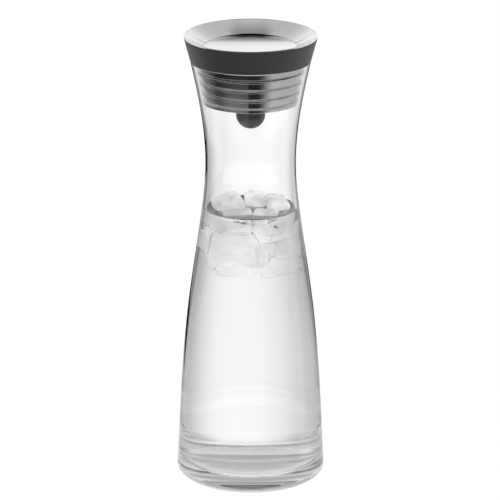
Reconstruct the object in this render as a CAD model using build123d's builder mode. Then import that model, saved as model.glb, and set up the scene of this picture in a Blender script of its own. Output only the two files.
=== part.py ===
from build123d import *
import os
from math import cos, radians, sin

# A one-litre glass water carafe with a stopper that opens by itself: a dished
# steel lid lies on the stopper's collar and carries a hanging weight, which
# swings when the carafe is tipped and rocks the lid open on the pouring side.
# Millimetres, +Z up, origin at the centre of the base on the resting plane.
# The pouring side faces -Y, and the lid rocks on the collar's far edge at +Y.

# Glass body: outer radii at named heights above the resting plane
glass_height = 274.5
glass_wall = 2.4
base_radius = 47.85
flank_radius = 41.45
flank_height = 100.0
shoulder_radius = 33.3
shoulder_height = 160.0
neck_radius = 28.55
neck_height = 205.0
mouth_radius = 37.95
base_taper = 0.06
mouth_flare = 0.23
base_corner = 4.2
base_thickness = 9.5
floor_corner = 6.0
foot_width = 6.5
punt_depth = 2.0
rim_rounding = 0.9

# Ribbed seal that grips the inside of the neck
seal_length = 26.5
seal_clearance = 0.3
seal_foot = 2.2
sleeve_wall = 1.3
lip_depth = 1.5
lip_offset = 6.8
lip_pitch = 6.5
lip_thickness = 1.3
lip_root = 2.1

# Rigid funnel inside the seal, with the flange that the collar is moulded over
core_wall = 2.0
flange_thickness = 2.5

# Soft pouring collar that rests on the glass rim and carries the lid
collar_height = 14.7
collar_flare = 3.9
collar_sole = 2.0
collar_wall = 3.0
collar_seat_width = 1.0
collar_edge = 0.3

# Guide with three arms, which keeps the hanging weight under the stopper
arm_count = 3
arm_width = 2.4
guide_height = 5.4
guide_ring_wall = 1.6
guide_hub_wall = 2.4
guide_clearance = 0.5

# Lid: a pressed steel dish bonded into a moulded carrier
lid_tilt = 10.0
lid_inset = 0.15
carrier_floor = 1.6
carrier_wall = 2.0
plug_clearance = 0.6
dish_sheet = 0.8
dish_land = 1.2
dish_depth = 7.6
dish_bowl = 0.9
dish_wall_run = 11.9
dish_sagitta = 0.4
dish_lip = 1.2
dish_crease = 2.2
boss_radius = 5.2
boss_length = 5.0
rib_count = 6
rib_width = 1.2
rib_height = 2.4

# Hanging weight
stud_radius = 1.5
stud_clearance = 0.1
stem_radius = 2.0
head_flats = 7.0
head_length = 5.0
socket_depth = 4.0
socket_gap = 0.3
weight_radius = 9.2
weight_drop = 49.9
shell_wall = 1.4
lap_height = 1.2
stem_depth = 6.0

# Heights that follow from them
seal_bottom = glass_height - seal_length
foot_top = seal_bottom + seal_foot
flange_bottom = glass_height + collar_sole
flange_top = flange_bottom + flange_thickness
lid_seat = glass_height + collar_height
lid_top = lid_seat + dish_sheet
dish_floor = lid_top - dish_depth
dish_crease_height = dish_floor + dish_bowl
plug_bottom = dish_floor - dish_sheet - carrier_floor
boss_bottom = plug_bottom - boss_length
head_bottom = boss_bottom - head_length
weight_centre = lid_seat - weight_drop
weight_top = weight_centre + weight_radius

# Radii that follow from the mouth: the lid rocks on the outermost point of its rim
collar_top_radius = mouth_radius + collar_flare
lid_radius = collar_top_radius - lid_inset
dish_lip_radius = lid_radius - dish_land
dish_floor_radius = dish_lip_radius - dish_wall_run


def tipped_rise(depth):
    """How far a point on the axis, depth below the lid's seat, rises with the lid fully tipped."""
    return lid_radius * sin(radians(lid_tilt)) + depth * (1 - cos(radians(lid_tilt)))


def tipped_shift(depth):
    """How far that point moves towards the pouring side."""
    return depth * sin(radians(lid_tilt)) - lid_radius * (1 - cos(radians(lid_tilt)))


def tipped_depth(height):
    """Depth below the lid's seat of the axis point that stands at a height with the lid fully tipped."""
    return (lid_seat + lid_radius * sin(radians(lid_tilt)) - height) / cos(radians(lid_tilt))


def wall_curve(inset, mode=Mode.ADD):
    """Profile of the glass wall from base to mouth, moved towards the axis by inset."""
    return Spline(
        (base_radius - inset, 0),
        (flank_radius - inset, flank_height),
        (shoulder_radius - inset, shoulder_height),
        (neck_radius - inset, neck_height),
        (mouth_radius - inset, glass_height),
        tangents=((-base_taper, 1), (mouth_flare, 1)),
        mode=mode,
    )


bore_curve = wall_curve(glass_wall, mode=Mode.PRIVATE)


def bore_radius(height):
    """Inner radius of the glass at a height, read from the wall's own curve."""
    low = 0.0
    high = 1.0
    for _ in range(40):
        middle = (low + high) / 2
        if (bore_curve @ middle).Y < height:
            low = middle
        else:
            high = middle
    return (bore_curve @ low).X


# The funnel is a cone that runs parallel to the neck behind the seal
seal_stack = seal_clearance + lip_depth + sleeve_wall
funnel_foot = bore_radius(seal_bottom) - seal_stack
funnel_head = bore_radius(glass_height) - seal_stack


def funnel_radius(height):
    """Outer radius of the funnel at a height."""
    return funnel_foot + (funnel_head - funnel_foot) * (height - seal_bottom) / seal_length


def collar_radius(height):
    """Outer radius of the collar's straight conical side at a height."""
    return mouth_radius + collar_flare * (height - glass_height) / collar_height


def rings_at(builder, height):
    """Circular edges of the part being built that lie at a height, smallest first."""
    rings = builder.edges().filter_by(GeomType.CIRCLE)
    level = rings.filter_by(lambda edge: abs(edge.arc_center.Z - height) < 1e-4)
    return level.filter_by(lambda edge: abs(edge.normal().Z) > 0.99).sort_by(SortBy.RADIUS)


def write_piece(builder, name):
    """Label a finished piece and write its STEP file."""
    builder.part.label = name
    export_step(builder.part, f"parts/{name}.step")


os.makedirs("parts", exist_ok=True)

# Glass body: an outer form hollowed by the same wall line, with a heavy base
foot_inner_radius = base_radius - base_corner - foot_width
punt_radius = (foot_inner_radius**2 + punt_depth**2) / (2 * punt_depth)

with BuildPart() as glass_body:
    with BuildSketch(Plane.XZ):
        with BuildLine():
            wall_curve(0)
            Polyline((base_radius, 0), (0, 0), (0, glass_height), (mouth_radius, glass_height))
        make_face()
    revolve(axis=Axis.Z)
    fillet(rings_at(glass_body, 0), base_corner)
    with BuildSketch(Plane.XZ):
        with BuildLine():
            wall_curve(glass_wall)
            Polyline(
                (base_radius - glass_wall, 0),
                (0, 0),
                (0, glass_height),
                (mouth_radius - glass_wall, glass_height),
            )
        make_face()
        with Locations((0, base_thickness)):
            Rectangle(base_radius, glass_height, align=(Align.MIN, Align.MIN), mode=Mode.INTERSECT)
    revolve(axis=Axis.Z, mode=Mode.SUBTRACT)
    fillet(rings_at(glass_body, base_thickness), floor_corner)
    with Locations((0, 0, punt_depth - punt_radius)):
        Sphere(punt_radius, mode=Mode.SUBTRACT)
    fillet(rings_at(glass_body, glass_height), rim_rounding)
write_piece(glass_body, "glass_body")

# Neck seal: a thin sleeve with a thick foot and lips that reach for the glass at their own heights
lip_count = int((seal_length - seal_foot - lip_offset) // lip_pitch) + 1

with BuildPart() as neck_seal:
    with BuildSketch(Plane.XZ):
        with BuildLine():
            Polyline(
                (funnel_foot, seal_bottom),
                (bore_radius(seal_bottom) - seal_clearance, seal_bottom),
                (bore_radius(foot_top) - seal_clearance, foot_top),
                (funnel_radius(foot_top) + sleeve_wall, foot_top),
                (funnel_head + sleeve_wall, glass_height),
                (funnel_head, glass_height),
                close=True,
            )
        make_face()
        for lip in range(lip_count):
            lip_low = glass_height - lip_offset - lip * lip_pitch
            lip_high = lip_low + lip_thickness
            with BuildLine():
                Polyline(
                    (funnel_radius(lip_low) + sleeve_wall / 2, lip_low),
                    (bore_radius(lip_low) - seal_clearance, lip_low),
                    (bore_radius(lip_high) - seal_clearance, lip_high),
                    (funnel_radius(lip_low) + sleeve_wall / 2, lip_low + lip_root),
                    close=True,
                )
            make_face()
    revolve(axis=Axis.Z)
write_piece(neck_seal, "neck_seal")

# Stopper core: the conical funnel and its flange
flange_radius = collar_radius(flange_bottom) - collar_wall

with BuildPart() as stopper_core:
    with BuildSketch(Plane.XZ):
        with BuildLine():
            Polyline(
                (funnel_foot - core_wall, seal_bottom),
                (funnel_foot, seal_bottom),
                (funnel_radius(flange_bottom), flange_bottom),
                (flange_radius, flange_bottom),
                (flange_radius, flange_top),
                (funnel_radius(flange_top) - core_wall, flange_top),
                close=True,
            )
        make_face()
    revolve(axis=Axis.Z)
write_piece(stopper_core, "stopper_core")

# Pouring collar: wraps the flange, rests on the glass and funnels up to the lid's seat
seat_inner_radius = collar_top_radius - collar_seat_width

with BuildPart() as pouring_collar:
    with BuildSketch(Plane.XZ):
        with BuildLine():
            Polyline(
                (mouth_radius, glass_height),
                (collar_top_radius, lid_seat),
                (seat_inner_radius, lid_seat),
                (funnel_radius(flange_top) - core_wall, flange_top),
                (flange_radius, flange_top),
                (flange_radius, flange_bottom),
                (funnel_radius(flange_bottom), flange_bottom),
                (funnel_head, glass_height),
                close=True,
            )
        make_face()
    revolve(axis=Axis.Z)
    fillet(rings_at(pouring_collar, lid_seat), collar_edge)
    fillet(rings_at(pouring_collar, glass_height)[-1], collar_edge)
write_piece(pouring_collar, "pouring_collar")

# Guide spider: stops the weight just above its highest place and clears the stem
guide_bottom = weight_top + tipped_rise(weight_drop) + guide_clearance
guide_top = guide_bottom + guide_height
stem_reach = stem_radius / cos(radians(lid_tilt))
guide_hole_radius = stem_reach + tipped_shift(tipped_depth(guide_bottom)) + guide_clearance
guide_hub_radius = guide_hole_radius + guide_hub_wall

with BuildPart() as guide_spider:
    with BuildSketch(Plane.XY.offset(guide_bottom)):
        Circle(guide_hub_radius)
        with PolarLocations(0, arm_count, start_angle=90):
            Rectangle(funnel_head, arm_width, align=(Align.MIN, Align.CENTER))
    extrude(amount=guide_height)
    with BuildSketch(Plane.XZ):
        with BuildLine():
            Polyline(
                (0, guide_bottom),
                (funnel_radius(guide_bottom) - core_wall, guide_bottom),
                (funnel_radius(guide_top) - core_wall, guide_top),
                (0, guide_top),
                close=True,
            )
        make_face()
    revolve(axis=Axis.Z, mode=Mode.INTERSECT)
    with BuildSketch(Plane.XZ):
        with BuildLine():
            Polyline(
                (funnel_radius(guide_bottom) - core_wall - guide_ring_wall, guide_bottom),
                (funnel_radius(guide_bottom) - core_wall, guide_bottom),
                (funnel_radius(guide_top) - core_wall, guide_top),
                (funnel_radius(guide_top) - core_wall - guide_ring_wall, guide_top),
                close=True,
            )
        make_face()
    revolve(axis=Axis.Z)
    with Locations((0, 0, guide_top)):
        Hole(guide_hole_radius)
write_piece(guide_spider, "guide_spider")

# Steel dish: one pressed sheet with a flat rim, a bowed wall and a slightly hollow floor
bowl_radius = (dish_floor_radius**2 + dish_bowl**2) / (2 * dish_bowl)

with BuildLine() as dish_top:
    Line((lid_radius, lid_top), (dish_lip_radius, lid_top))
    SagittaArc((dish_lip_radius, lid_top), (dish_floor_radius, dish_crease_height), dish_sagitta)
    RadiusArc((dish_floor_radius, dish_crease_height), (0, dish_floor), bowl_radius)
    fillet(dish_top.vertices().sort_by_distance((dish_lip_radius, lid_top))[0], dish_lip)
    fillet(dish_top.vertices().sort_by_distance((dish_floor_radius, dish_crease_height))[0], dish_crease)

with BuildLine() as dish_underside:
    offset(dish_top.line, amount=dish_sheet, side=Side.LEFT, closed=False)

with BuildPart() as steel_dish:
    with BuildSketch(Plane.XZ):
        with BuildLine():
            add(dish_top.line)
            add(dish_underside.line)
            Line((lid_radius, lid_top), (lid_radius, lid_seat))
            Line((0, dish_floor), (0, dish_floor - dish_sheet))
        make_face()
    revolve(axis=Axis.Z)
write_piece(steel_dish, "steel_dish")

# Dish carrier: a moulded plug under the dish, with a ribbed boss for the stem
plug_radius = seat_inner_radius - plug_clearance
plug_foot_radius = dish_floor_radius + carrier_wall

with BuildPart() as dish_carrier:
    with BuildSketch(Plane.XZ):
        with BuildLine():
            add(dish_underside.line)
            Polyline(
                (lid_radius, lid_seat),
                (lid_radius, plug_bottom),
                (0, plug_bottom),
                (0, dish_floor - dish_sheet),
            )
        make_face()
        with BuildLine():
            Polyline(
                (0, plug_bottom),
                (plug_foot_radius, plug_bottom),
                (plug_radius, lid_seat),
                (0, lid_seat),
                close=True,
            )
        make_face(mode=Mode.INTERSECT)
    revolve(axis=Axis.Z)
    with BuildSketch(Plane.XY.offset(plug_bottom)):
        Circle(boss_radius)
    extrude(amount=-boss_length)
    with BuildSketch(Plane.XY.offset(plug_bottom)):
        with PolarLocations(0, rib_count):
            Rectangle(plug_foot_radius, rib_width, align=(Align.MIN, Align.CENTER))
    extrude(amount=-rib_height)
    with Locations((0, 0, dish_floor)):
        Hole(stud_radius + stud_clearance)
write_piece(dish_carrier, "dish_carrier")

# Stud welded under the dish, on which the stem is screwed up against the boss
stud_bottom = boss_bottom - socket_depth + socket_gap

with BuildPart() as dish_stud:
    with BuildSketch(Plane.XY.offset(stud_bottom)):
        Circle(stud_radius)
    extrude(amount=dish_floor - dish_sheet - stud_bottom)
write_piece(dish_stud, "dish_stud")

# Pendulum stem: a rod with a hexagonal head and a threaded socket
stem_bottom = weight_top - shell_wall - stem_depth

with BuildPart() as pendulum_stem:
    with BuildSketch(Plane.XY.offset(head_bottom)):
        RegularPolygon(head_flats / 2, 6, major_radius=False)
    extrude(amount=head_length)
    with BuildSketch(Plane.XY.offset(boss_bottom)):
        Circle(stud_radius)
    extrude(amount=-socket_depth, mode=Mode.SUBTRACT)
    with BuildSketch(Plane.XY.offset(stem_bottom)):
        Circle(stem_radius)
    extrude(amount=head_bottom - stem_bottom)
write_piece(pendulum_stem, "pendulum_stem")

# Weight: a steel ball screwed on the stem inside a two-part shell with a lap joint
core_radius = weight_radius - shell_wall
lap_radius = weight_radius - shell_wall / 2

with BuildPart() as weight_core:
    with Locations((0, 0, weight_centre)):
        Sphere(core_radius)
    with BuildSketch(Plane.XY.offset(stem_bottom)):
        Circle(stem_radius)
    extrude(amount=weight_radius * 2, mode=Mode.SUBTRACT)
write_piece(weight_core, "weight_core")

with BuildPart() as weight_shell_lower:
    with Locations((0, 0, weight_centre)):
        Sphere(weight_radius)
    split(bisect_by=Plane.XY.offset(weight_centre), keep=Keep.BOTTOM)
    with BuildSketch(Plane.XY.offset(weight_centre)):
        Circle(lap_radius)
    extrude(amount=lap_height)
    with Locations((0, 0, weight_centre)):
        Sphere(core_radius, mode=Mode.SUBTRACT)
write_piece(weight_shell_lower, "weight_shell_lower")

with BuildPart() as weight_shell_upper:
    with Locations((0, 0, weight_centre)):
        Sphere(weight_radius)
    split(bisect_by=Plane.XY.offset(weight_centre), keep=Keep.TOP)
    with BuildSketch(Plane.XY.offset(weight_centre)):
        Circle(lap_radius)
    extrude(amount=lap_height, mode=Mode.SUBTRACT)
    with Locations((0, 0, weight_centre)):
        Sphere(core_radius, mode=Mode.SUBTRACT)
    with Locations((0, 0, weight_top)):
        Hole(stem_radius)
write_piece(weight_shell_upper, "weight_shell_upper")

print("lid hinge", (0, lid_radius, lid_seat), "tilt", lid_tilt, "collar top", collar_top_radius)
print("guide", guide_bottom, guide_top, "hole", guide_hole_radius, "weight radius", weight_radius)
print("pull to clear the rim", glass_height - (weight_centre - weight_radius))
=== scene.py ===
"""Looks of a glass water carafe with a tipping steel lid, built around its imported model.

Metres, +Z up. The carafe stands on the floor with its axis on Z, and pours towards -Y.
"""

import logging
import math
from collections.abc import Mapping, Sequence
from dataclasses import dataclass
from enum import Enum

import bpy
import numpy as np
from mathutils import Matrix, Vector

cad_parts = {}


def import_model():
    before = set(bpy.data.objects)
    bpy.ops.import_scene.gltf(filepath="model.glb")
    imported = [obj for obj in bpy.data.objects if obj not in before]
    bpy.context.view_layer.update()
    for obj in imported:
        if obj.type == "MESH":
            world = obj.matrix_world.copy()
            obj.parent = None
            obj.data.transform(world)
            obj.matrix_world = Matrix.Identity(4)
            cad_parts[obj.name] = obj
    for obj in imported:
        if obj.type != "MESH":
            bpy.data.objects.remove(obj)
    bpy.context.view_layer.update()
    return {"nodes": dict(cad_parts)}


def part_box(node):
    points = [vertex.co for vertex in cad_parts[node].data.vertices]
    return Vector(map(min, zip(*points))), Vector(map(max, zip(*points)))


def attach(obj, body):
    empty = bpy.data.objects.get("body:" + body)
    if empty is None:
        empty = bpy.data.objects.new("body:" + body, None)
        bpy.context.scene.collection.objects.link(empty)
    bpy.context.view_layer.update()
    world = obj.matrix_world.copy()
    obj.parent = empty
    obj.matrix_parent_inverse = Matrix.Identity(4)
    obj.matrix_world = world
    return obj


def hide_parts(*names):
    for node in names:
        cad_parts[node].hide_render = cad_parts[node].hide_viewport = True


LOG = logging.getLogger("carafe")
MM = 0.001
ON_AXIS = 1e-6

Point = tuple[float, float]
Corner = tuple[float, float, float]
Colour = tuple[float, float, float, float]


def grey(value: float) -> Colour:
    """A neutral colour of one linear value."""
    return (value, value, value, 1.0)


def rounded(corners: Sequence[Corner], closed: bool = False, steps: int = 6) -> list[Point]:
    """Rounds the corners of a half section with arcs.

    Args:
        corners: Radius, height and rounding of each corner, in order.
        closed: Whether the last corner joins the first one.
        steps: Parts in each arc.

    Returns:
        Radius and height of each point along the rounded line.
    """
    line: list[Point] = []
    count = len(corners)
    for index, (radius, height, rounding) in enumerate(corners):
        here = Vector((radius, height))
        inside = closed or 0 < index < count - 1
        if not inside or rounding <= 0:
            line.append((radius, height))
            continue
        before = Vector(corners[index - 1][:2]) - here
        after = Vector(corners[(index + 1) % count][:2]) - here
        half = before.angle(after) / 2
        back = before.normalized()
        on = after.normalized()
        centre = here + (back + on).normalized() * rounding / math.sin(half)
        reach = rounding / math.tan(half)
        hold = min(reach * 0.25, (before.length - reach) * 0.3, (after.length - reach) * 0.3)
        start = here + back * reach - centre
        end = here + on * reach - centre
        turn = start.angle(end)
        if hold > 0:
            line.append(tuple(here + back * (reach + hold)))
        for step in range(steps + 1):
            share = step / steps
            arm = start * math.sin((1 - share) * turn) + end * math.sin(share * turn)
            line.append(tuple(centre + arm / math.sin(turn)))
        if hold > 0:
            line.append(tuple(here + on * (reach + hold)))
    return line


class WallLine:
    """Outer line of the blown glass, a clamped cubic through radii at a few heights."""

    def __init__(self, heights: Sequence[float], radii: Sequence[float], foot: float, mouth: float) -> None:
        """Works out the line's slope at each height.

        Args:
            heights: Heights from the foot to the mouth.
            radii: Outer radius at each height.
            foot: Change of radius with height at the foot.
            mouth: Change of radius with height at the mouth.
        """
        self.heights = np.array(heights, float)
        self.radii = np.array(radii, float)
        count = len(heights)
        spans = np.diff(self.heights)
        rises = np.diff(self.radii)
        system = np.eye(count)
        wanted = np.zeros(count)
        wanted[0] = foot
        wanted[-1] = mouth
        for i in range(1, count - 1):
            below = 1 / spans[i - 1]
            above = 1 / spans[i]
            system[i, i - 1 : i + 2] = (below, 2 * (below + above), above)
            wanted[i] = 3 * (rises[i - 1] * below**2 + rises[i] * above**2)
        self.slopes = np.linalg.solve(system, wanted)

    def radius(self, height: float, inset: float = 0.0) -> float:
        """Radius at a height, moved towards the axis by an inset.

        Args:
            height: Height on the line.
            inset: Distance towards the axis.

        Returns:
            The radius there.
        """
        i = int(np.clip(np.searchsorted(self.heights, height) - 1, 0, len(self.heights) - 2))
        span = self.heights[i + 1] - self.heights[i]
        t = (height - self.heights[i]) / span
        low = (2 * t**3 - 3 * t**2 + 1) * self.radii[i] + (t**3 - 2 * t**2 + t) * span * self.slopes[i]
        high = (3 * t**2 - 2 * t**3) * self.radii[i + 1] + (t**3 - t**2) * span * self.slopes[i + 1]
        return float(low + high) - inset

    def points(self, low: float, high: float, parts: int, inset: float = 0.0) -> list[Point]:
        """Points along the line from one height to another, both ends included."""
        heights = [low + (high - low) * i / parts for i in range(parts + 1)]
        return [(self.radius(height, inset), height) for height in heights]


class CadNode:
    """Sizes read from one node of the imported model."""

    SAME_SURFACE = 0.5 * MM

    def __init__(self, node: bpy.types.Object) -> None:
        """Keeps the node's corners and triangles.

        Args:
            node: The imported object, which isn't changed.
        """
        mesh = node.data
        mesh.calc_loop_triangles()
        self.corners = np.array([v.co for v in mesh.vertices], float)
        self.triangles = np.array([t.vertices for t in mesh.loop_triangles], int)

    @property
    def low(self) -> float:
        """Height of the node's lowest point."""
        return float(self.corners[:, 2].min())

    @property
    def high(self) -> float:
        """Height of the node's highest point."""
        return float(self.corners[:, 2].max())

    def radii(self, height: float) -> list[float]:
        """Radii at which the node's surface crosses a height, smallest first.

        Args:
            height: Height of the level cut.

        Returns:
            One radius for each surface that the cut meets.
        """
        found: list[np.ndarray] = []
        for first, second in ((0, 1), (1, 2), (2, 0)):
            a = self.corners[self.triangles[:, first]]
            b = self.corners[self.triangles[:, second]]
            crosses = (a[:, 2] - height) * (b[:, 2] - height) < 0
            a, b = a[crosses], b[crosses]
            share = ((height - a[:, 2]) / (b[:, 2] - a[:, 2]))[:, None]
            cut = a + (b - a) * share
            found.append(np.hypot(cut[:, 0], cut[:, 1]))
        ordered = np.sort(np.concatenate(found))
        breaks = np.flatnonzero(np.diff(ordered) > self.SAME_SURFACE)
        return [float(ordered[i]) for i in [*breaks, len(ordered) - 1]]


class Bench:
    """Modelling steps that the pieces share."""

    SEGMENTS = 224
    SMOOTH_UNDER = math.radians(38)
    WELD_UNDER = 1e-6

    @staticmethod
    def clear() -> None:
        """Leaves nothing selected, so that a step acts on its own piece only."""
        if bpy.context.object and bpy.context.object.mode != "OBJECT":
            bpy.ops.object.mode_set(mode="OBJECT")
        bpy.ops.object.select_all(action="DESELECT")

    @staticmethod
    def named(name: str) -> bpy.types.Object:
        """Names the new primitive and puts its place into its mesh.

        Args:
            name: Name of the object and of its mesh.

        Returns:
            The primitive.
        """
        piece = bpy.context.active_object
        piece.name = name
        piece.data.name = name
        bpy.ops.object.transform_apply(location=True, rotation=True, scale=True)
        return piece

    @classmethod
    def finished(cls, piece: bpy.types.Object) -> bpy.types.Object:
        """Turns the faces outwards and shades the rounded ones smooth.

        Args:
            piece: The piece, which is changed.

        Returns:
            The same piece.
        """
        bpy.ops.object.mode_set(mode="EDIT")
        bpy.ops.mesh.select_all(action="SELECT")
        bpy.ops.mesh.remove_doubles(threshold=cls.WELD_UNDER)
        bpy.ops.mesh.normals_make_consistent(inside=False)
        bpy.ops.object.mode_set(mode="OBJECT")
        bpy.ops.object.shade_smooth_by_angle(angle=cls.SMOOTH_UNDER)
        return piece

    @classmethod
    def turned(cls, name: str, outline: Sequence[Point], segments: int = SEGMENTS) -> bpy.types.Object:
        """Turns a half section about the axis, one ring extruded and resized from the last.

        An end of the outline that lies on the axis becomes a pole. Without poles the ends are joined.

        Args:
            name: The piece's name.
            outline: Radius and height of each ring.
            segments: Sides of each ring.

        Returns:
            The closed piece.
        """
        starts_on_axis = outline[0][0] < ON_AXIS
        ends_on_axis = outline[-1][0] < ON_AXIS
        rings = list(outline[int(starts_on_axis) : len(outline) - int(ends_on_axis)])
        if not starts_on_axis and not ends_on_axis:
            rings.append(rings[0])
        cls.clear()
        radius, height = rings[0]
        bpy.ops.mesh.primitive_circle_add(
            vertices=segments,
            radius=radius,
            location=(0, 0, height),
            fill_type="TRIFAN" if starts_on_axis else "NOTHING",
        )
        piece = cls.named(name)
        bpy.ops.object.mode_set(mode="EDIT")
        if starts_on_axis:
            bpy.ops.mesh.region_to_loop()
        for radius_next, height_next in rings[1:]:
            cls.extrude_up(height_next - height)
            share = radius_next / radius
            bpy.ops.transform.resize(value=(share, share, 1), center_override=(0, 0, 0))
            radius, height = radius_next, height_next
        if ends_on_axis:
            cls.extrude_up(outline[-1][1] - height)
            bpy.ops.mesh.merge(type="CENTER")
        return cls.finished(piece)

    @staticmethod
    def extrude_up(rise: float) -> None:
        """Extrudes the selected ring straight up by a rise."""
        move = {"value": (0, 0, rise), "orient_type": "GLOBAL"}
        bpy.ops.mesh.extrude_edges_move(TRANSFORM_OT_translate=move)


class Wire:
    """A shader value that takes part in Python arithmetic, where each operation adds its Math node."""

    def __init__(self, graph: "Graph", socket: bpy.types.NodeSocket) -> None:
        """Holds an output socket of a graph."""
        self.graph = graph
        self.socket = socket

    def maths(self, operation: str, *others: "Feed") -> "Wire":
        """Applies a Math operation to this value and up to two others."""
        inputs = dict(enumerate((self, *others)))
        return self.graph.node("ShaderNodeMath", inputs, operation=operation)["Value"]

    def __add__(self, other: "Feed") -> "Wire":
        """This value plus another."""
        return self.maths("ADD", other)

    def __radd__(self, other: float) -> "Wire":
        """A number plus this value."""
        return self.maths("ADD", other)

    def __sub__(self, other: "Feed") -> "Wire":
        """This value minus another."""
        return self.maths("SUBTRACT", other)

    def __rsub__(self, other: float) -> "Wire":
        """A number minus this value."""
        return self.graph.node("ShaderNodeMath", {0: other, 1: self}, operation="SUBTRACT")["Value"]

    def __mul__(self, other: "Feed") -> "Wire":
        """This value times another."""
        return self.maths("MULTIPLY", other)

    def __rmul__(self, other: float) -> "Wire":
        """A number times this value."""
        return self.maths("MULTIPLY", other)

    def __truediv__(self, other: "Feed") -> "Wire":
        """This value divided by another."""
        return self.maths("DIVIDE", other)

    def __pow__(self, other: "Feed") -> "Wire":
        """This value to a power."""
        return self.maths("POWER", other)

    def between(self, start: float, end: float) -> "Wire":
        """A smooth step from 0 at start to 1 at end, which may be below start.

        Args:
            start: Value at which the step is 0.
            end: Value at which the step is 1.

        Returns:
            The step.
        """
        inputs = {"Value": self, "From Min": start, "From Max": end, "To Min": 0.0, "To Max": 1.0}
        if start > end:
            inputs |= {"From Min": end, "From Max": start, "To Min": 1.0, "To Max": 0.0}
        return self.graph.node("ShaderNodeMapRange", inputs, interpolation_type="SMOOTHSTEP")["Result"]


Feed = Wire | float | Sequence[float]


class Made:
    """A node whose outputs are read by name."""

    def __init__(self, graph: "Graph", node: bpy.types.Node) -> None:
        """Holds a node of a graph."""
        self.graph = graph
        self.node = node

    def __getitem__(self, name: str) -> Wire:
        """The output of that identifier or name.

        Args:
            name: Identifier or name of the output.

        Returns:
            The output's value.
        """
        for socket in self.node.outputs:
            if name in (socket.identifier, socket.name):
                return Wire(self.graph, socket)
        raise KeyError(f"{self.node.bl_idname} has no output {name}")


class Graph:
    """Node tree of one material or world."""

    def __init__(self, tree: bpy.types.NodeTree) -> None:
        """Starts from an empty tree."""
        self.tree = tree
        tree.nodes.clear()

    def node(self, kind: str, inputs: Mapping[str | int, "Feed"] | None = None, **settings: object) -> Made:
        """Adds any node.

        Args:
            kind: The node's type.
            inputs: Values or links of its sockets, by identifier, name or number.
            **settings: Properties that are set before the sockets, and a ramp's stops.

        Returns:
            The new node.
        """
        node = self.tree.nodes.new(kind)
        for key, value in settings.items():
            if key == "stops":
                self.fill_ramp(node.color_ramp, value)
            else:
                setattr(node, key, value)
        for key, value in (inputs or {}).items():
            socket = self.socket_of(node, key)
            if isinstance(value, Wire):
                self.tree.links.new(value.socket, socket)
            else:
                socket.default_value = value
        return Made(self, node)

    @staticmethod
    def socket_of(node: bpy.types.Node, key: str | int) -> bpy.types.NodeSocket:
        """The input of that number, identifier or name.

        Args:
            node: Node with the input.
            key: Number, identifier or name.

        Returns:
            The input.
        """
        if isinstance(key, int):
            return node.inputs[key]
        for socket in node.inputs:
            if key == socket.identifier:
                return socket
        return node.inputs[key]

    @staticmethod
    def fill_ramp(ramp: bpy.types.ColorRamp, stops: Sequence[tuple[float, Colour]]) -> None:
        """Gives a colour ramp its stops, from left to right.

        Args:
            ramp: The ramp, which is changed.
            stops: Place from 0 to 1 and colour of each stop.
        """
        while len(ramp.elements) < len(stops):
            ramp.elements.new(1.0)
        for element, (place, colour) in zip(ramp.elements, stops):
            element.position = place
            element.color = colour

    def level(self, value: Wire, points: Sequence[Point]) -> Wire:
        """Grey level that changes in straight steps with a value.

        Args:
            value: What the level follows.
            points: Values, rising, each with its level.

        Returns:
            The level.
        """
        low, high = points[0][0], points[-1][0]
        stops = [((at - low) / (high - low), grey(level)) for at, level in points]
        share = (value - low) / (high - low)
        ramp = self.node("ShaderNodeValToRGB", {"Fac": share}, stops=stops)["Color"]
        return self.node("ShaderNodeSeparateColor", {"Color": ramp})["Red"]

    def blend(self, share: Feed, first: Feed, second: Feed) -> Wire:
        """Mix of two colours."""
        inputs = {"Factor_Float": share, "A_Color": first, "B_Color": second}
        return self.node("ShaderNodeMix", inputs, data_type="RGBA")["Result_Color"]

    def shaders(self, share: Feed, first: Wire, second: Wire) -> Wire:
        """Mix of two shaders."""
        return self.node("ShaderNodeMixShader", {0: share, 1: first, 2: second})["Shader"]

    def place(self) -> Wire:
        """Place on the object, in metres."""
        return self.node("ShaderNodeTexCoord")["Object"]

    def noise(self, where: Wire, scale: float, detail: float = 2.0, roughness: float = 0.5) -> Wire:
        """Soft noise of a scale per metre."""
        inputs = {"Vector": where, "Scale": scale, "Detail": detail, "Roughness": roughness}
        return self.node("ShaderNodeTexNoise", inputs)["Fac"]

    def stretched(self, where: Wire, scale: Sequence[float]) -> Wire:
        """Coordinates stretched by a scale for each axis."""
        return self.node("ShaderNodeMapping", {"Vector": where, "Scale": scale})["Vector"]

    def mixed(self, share: Feed, first: Feed, second: Feed) -> Wire:
        """Mix of two numbers."""
        inputs = {"Factor_Float": share, "A_Float": first, "B_Float": second}
        return self.node("ShaderNodeMix", inputs, data_type="FLOAT")["Result_Float"]

    def split(self, where: Wire) -> tuple[Wire, Wire, Wire]:
        """The three parts of a vector."""
        parts = self.node("ShaderNodeSeparateXYZ", {"Vector": where})
        return parts["X"], parts["Y"], parts["Z"]

    def bump(self, height: Wire, strength: float, distance: float) -> Wire:
        """Normal that a height pattern gives."""
        inputs = {"Height": height, "Strength": strength, "Distance": distance}
        return self.node("ShaderNodeBump", inputs)["Normal"]


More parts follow.
